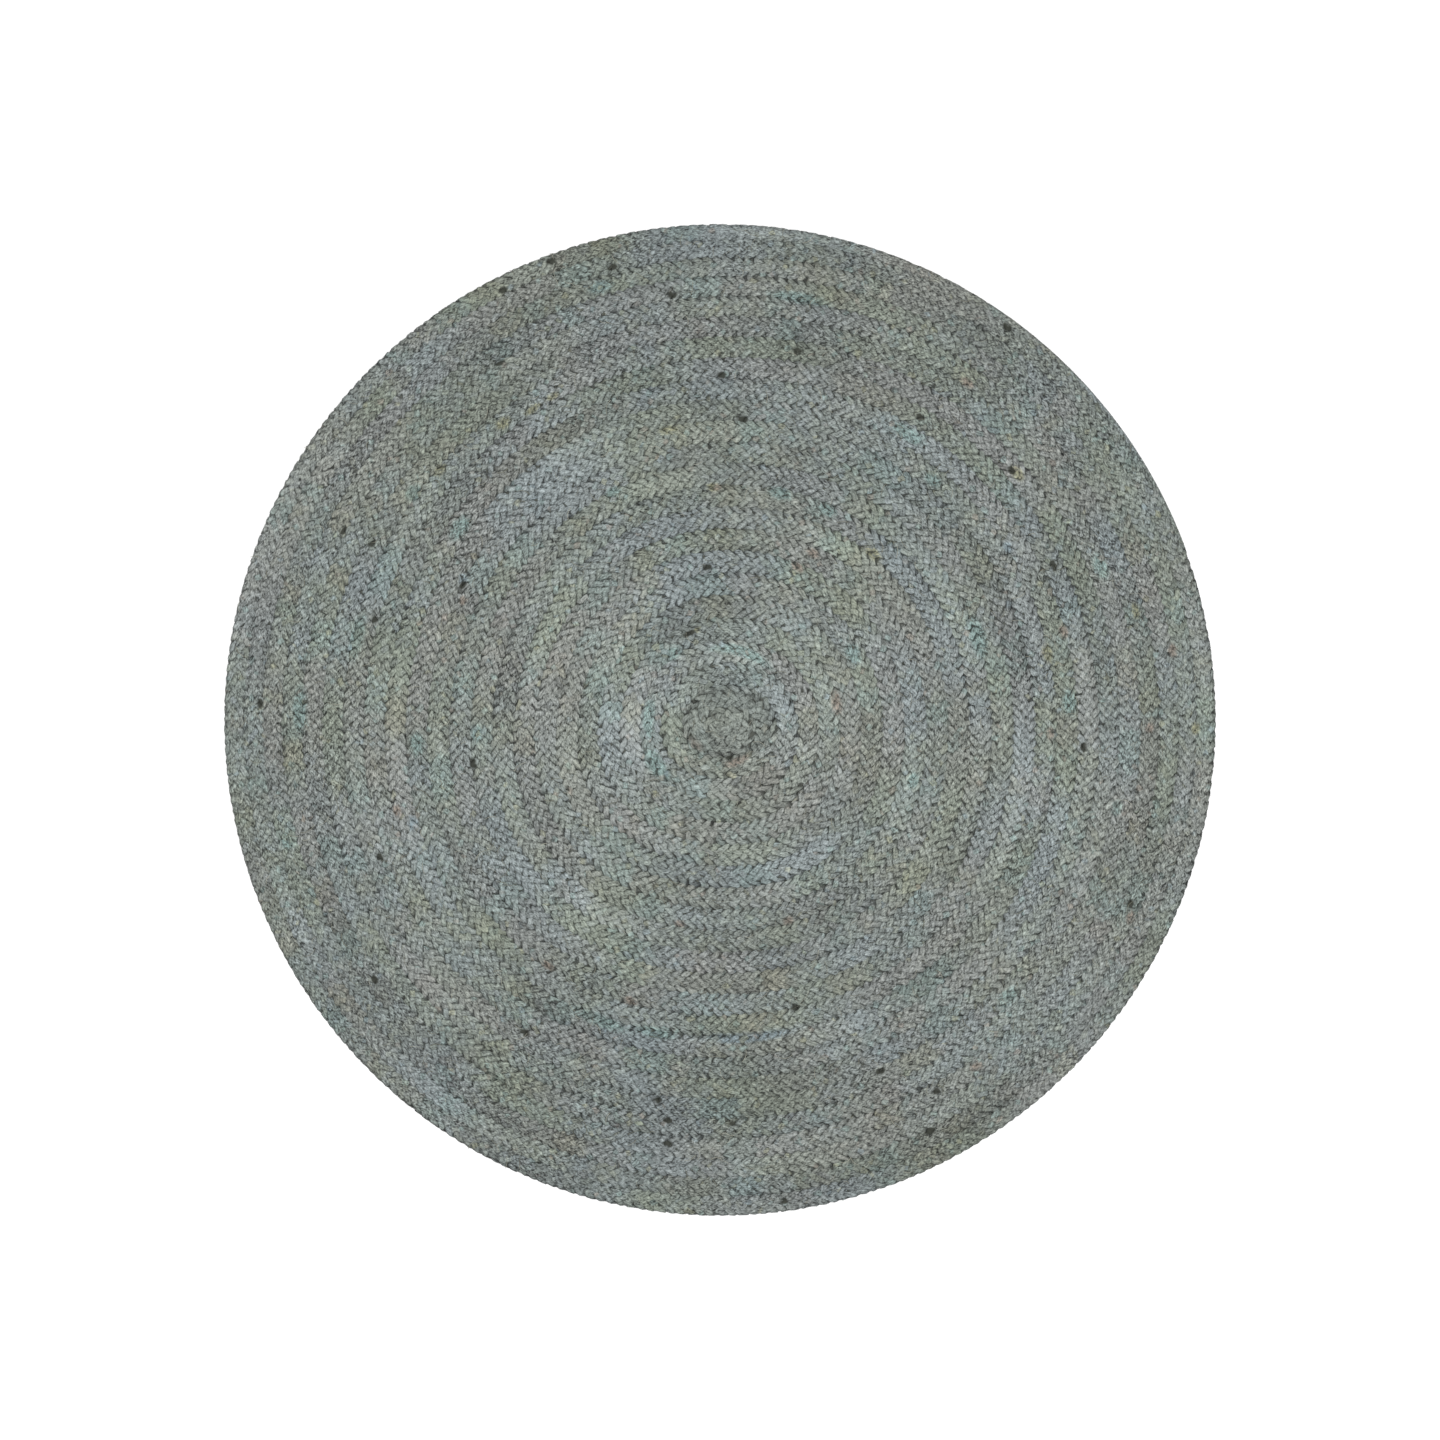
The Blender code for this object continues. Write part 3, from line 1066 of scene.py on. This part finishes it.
# %% The strands
strand_group = strand_tree()
strands = []
for number in range(STRANDS):
    values = {"Line": line, "Length": braid_length, "Strand": float(number), "Material": jute}
    strand = made_by(strand_group, f"strand_{number + 1}", values)
    store(strand.data, "lane", np.full(len(strand.data.vertices), number))
    mark(strand.data)
    strands.append(strand)
    print(f"{strand.name}: {len(strand.data.vertices)} points, {len(strand.data.polygons)} faces")
bpy.data.objects.remove(line)

# %% [markdown]
# A strand is about 65 m long and 22 mm round, so a texture laid along it would be a hair-thin ribbon. Cut
# into 48 lengths that lie side by side, it fills a square map evenly. Each face's ring and side follow
# from the order in which the skin's points were made, and the faces that close the ends get a corner.

# %% The strands' map
MAP_ROWS = 48
MAP_GAP = 0.08  # the share of a map row that is left free
MAP_LEFT, MAP_WIDTH = 0.002, 0.99
CAP_U, CAP_V, CAPS_APART, CAP_SIZE = 0.998, 0.5, 0.3, 0.001


def lay_map(mesh):
    points = np.empty(len(mesh.loops), dtype=np.int64)
    mesh.loops.foreach_get("vertex_index", points)
    starts = np.empty(len(mesh.polygons), dtype=np.int64)
    totals = np.empty(len(mesh.polygons), dtype=np.int64)
    mesh.polygons.foreach_get("loop_start", starts)
    mesh.polygons.foreach_get("loop_total", totals)
    face_of = np.repeat(np.arange(len(totals)), totals)
    ring, side = points // STRAND_SIDES, points % STRAND_SIDES
    first_ring = np.minimum.reduceat(ring, starts)[face_of]
    last_side = np.maximum.reduceat(side, starts)[face_of]
    first_side = np.minimum.reduceat(side, starts)[face_of]
    wraps = (last_side - first_side == STRAND_SIDES - 1) & (side == 0)
    side = side + STRAND_SIDES * wraps
    rings_in_row = math.ceil(len(mesh.vertices) / STRAND_SIDES / MAP_ROWS)
    row = first_ring // rings_in_row
    u = (ring - row * rings_in_row) / rings_in_row
    v = (row + MAP_GAP / 2 + side / STRAND_SIDES * (1 - MAP_GAP)) / MAP_ROWS
    is_cap = (totals != 4)[face_of]
    turn = 2 * math.pi * side / STRAND_SIDES
    u = np.where(is_cap, CAP_U + CAP_SIZE * np.cos(turn), u * MAP_WIDTH + MAP_LEFT)
    v = np.where(is_cap, CAP_V + CAPS_APART * (first_ring > 0) + CAP_SIZE * np.sin(turn), v)
    flat = np.stack((u, v), axis=1).astype(np.float32)
    mesh.uv_layers.new(name="OFBake").data.foreach_set("uv", flat.ravel())


for strand in strands:
    lay_map(strand.data)
print(f"map: {MAP_ROWS} rows, {len(strands[0].data.loops)} corners on each strand")

# %% [markdown]
# ## Loose fibres
#
# Jute sheds: short ends of fibre stand out of the strands and lie across the stitches. Drawn in the
# finish they would be flat, so they are thin arches, scattered over the top of the heart with their ends
# down between the strands. Each has only three sides, because there are about 1,500 of them.

# %% The loose fibres' sizes
FIBRES_IN_SQUARE_METRE = 1300
FIBRE_SPAN = 0.016
FIBRE_THICKNESS = 0.00045
FIBRE_ARCH = 0.0022
FIBRE_BASE = 0.0086  # the height of a fibre's own zero line above the floor
FIBRE_PIECES = 5
FIBRE_SIDES = 3
FIBRE_TIP = -0.5  # the height of its ends over that line, in arches
FIBRE_TOP = 2  # the height of the point that its bend leans towards, in arches
FIBRE_TILT = 0.1  # in radians
FIBRE_SIZES = ((0.5, 0.4, 0.7), (1.3, 1.6, 1.2))  # smallest and largest, in length, bend and height
SCATTER_SEED, TURN_SEED, SIZE_SEED = 7, 3, 4


# %% The loose fibres' tree
def one_fibre(tree, given):
    tip = given["Arch"] * FIBRE_TIP
    arch = {
        "Resolution": FIBRE_PIECES,
        "Start": tree.vector(given["Span"] / -2, 0.0, tip),
        "Middle": tree.vector(0.0, given["Span"] / 4, given["Arch"] * FIBRE_TOP),
        "End": tree.vector(given["Span"] / 2, 0.0, tip),
    }
    arch = tree.node("GeometryNodeCurveQuadraticBezier", None, arch)[0]
    outline = {"Resolution": FIBRE_SIDES, "Radius": given["Thickness"] / 2}
    outline = tree.node("GeometryNodeCurvePrimitiveCircle", None, outline)[0]
    fibre = {"Curve": arch, "Profile Curve": outline, "Fill Caps": True}
    return tree.node("GeometryNodeCurveToMesh", None, fibre)[0]


def random_vector(tree, low, high, seed):
    inputs = {"Min": low, "Max": high, "Seed": seed}
    return tree.node("FunctionNodeRandomValue", {"data_type": "FLOAT_VECTOR"}, inputs)[0]


def fibre_tree():
    group = new_group(
        "scatter_fibres",
        (
            ("Ground", "NodeSocketObject", None),
            ("Density", "NodeSocketFloat", FIBRES_IN_SQUARE_METRE),
            ("Span", "NodeSocketFloat", FIBRE_SPAN),
            ("Thickness", "NodeSocketFloat", FIBRE_THICKNESS),
            ("Arch", "NodeSocketFloat", FIBRE_ARCH),
            ("Material", "NodeSocketMaterial", None),
        ),
    )
    tree = Tree(group)
    given = tree.node("NodeGroupInput")
    ground = tree.node("GeometryNodeObjectInfo", None, {"Object": given["Ground"]})["Geometry"]
    is_top = tree.parts(tree.node("GeometryNodeInputNormal")[0])["Z"].maths("GREATER_THAN", 0.5)
    scatter = {"Mesh": ground, "Selection": is_top, "Density": given["Density"], "Seed": SCATTER_SEED}
    points = tree.node("GeometryNodeDistributePointsOnFaces", None, scatter)["Points"]
    place = tree.parts(place_now(tree))
    points = placed(tree, points, tree.vector(place["X"], place["Y"], FIBRE_BASE))
    least, most = (-FIBRE_TILT, -FIBRE_TILT, 0.0), (FIBRE_TILT, FIBRE_TILT, 2 * math.pi)
    copies = {
        "Points": points,
        "Instance": one_fibre(tree, given),
        "Rotation": random_vector(tree, least, most, TURN_SEED),
        "Scale": random_vector(tree, *FIBRE_SIZES, SIZE_SEED),
    }
    copies = tree.node("GeometryNodeInstanceOnPoints", None, copies)[0]
    finish_group(tree, copies, given["Material"])
    return group


# %% The loose fibres
LOOSE_DULL = (0.16, 0.16, 0.12, 1.0)
LOOSE_PALE = (0.34, 0.34, 0.28, 1.0)
LOOSE_COLOUR_WAVES = 40
LOOSE_ROUGHNESS = 0.8


def fibre_material():
    material, tree, shader = new_material("loose_jute")
    rug_place = tree.node("ShaderNodeTexCoord")["Object"]
    share = noise_at(tree, rug_place, LOOSE_COLOUR_WAVES).between(*MIDDLE_RANGE)
    colour = tree.mix(share, LOOSE_DULL, LOOSE_PALE)
    finish_shader(tree, shader, {"Base Color": colour, "Roughness": LOOSE_ROUGHNESS})
    return material


fibre_values = {"Ground": heart, "Material": fibre_material()}
loose_fibres = made_by(fibre_tree(), "loose_fibres", fibre_values)
print(f"loose fibres: {len(loose_fibres.data.polygons)} faces")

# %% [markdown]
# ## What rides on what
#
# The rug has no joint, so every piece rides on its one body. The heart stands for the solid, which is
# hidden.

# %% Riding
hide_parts("braided_rug")
for piece in (heart, *strands, loose_fibres):
    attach(piece, "root")
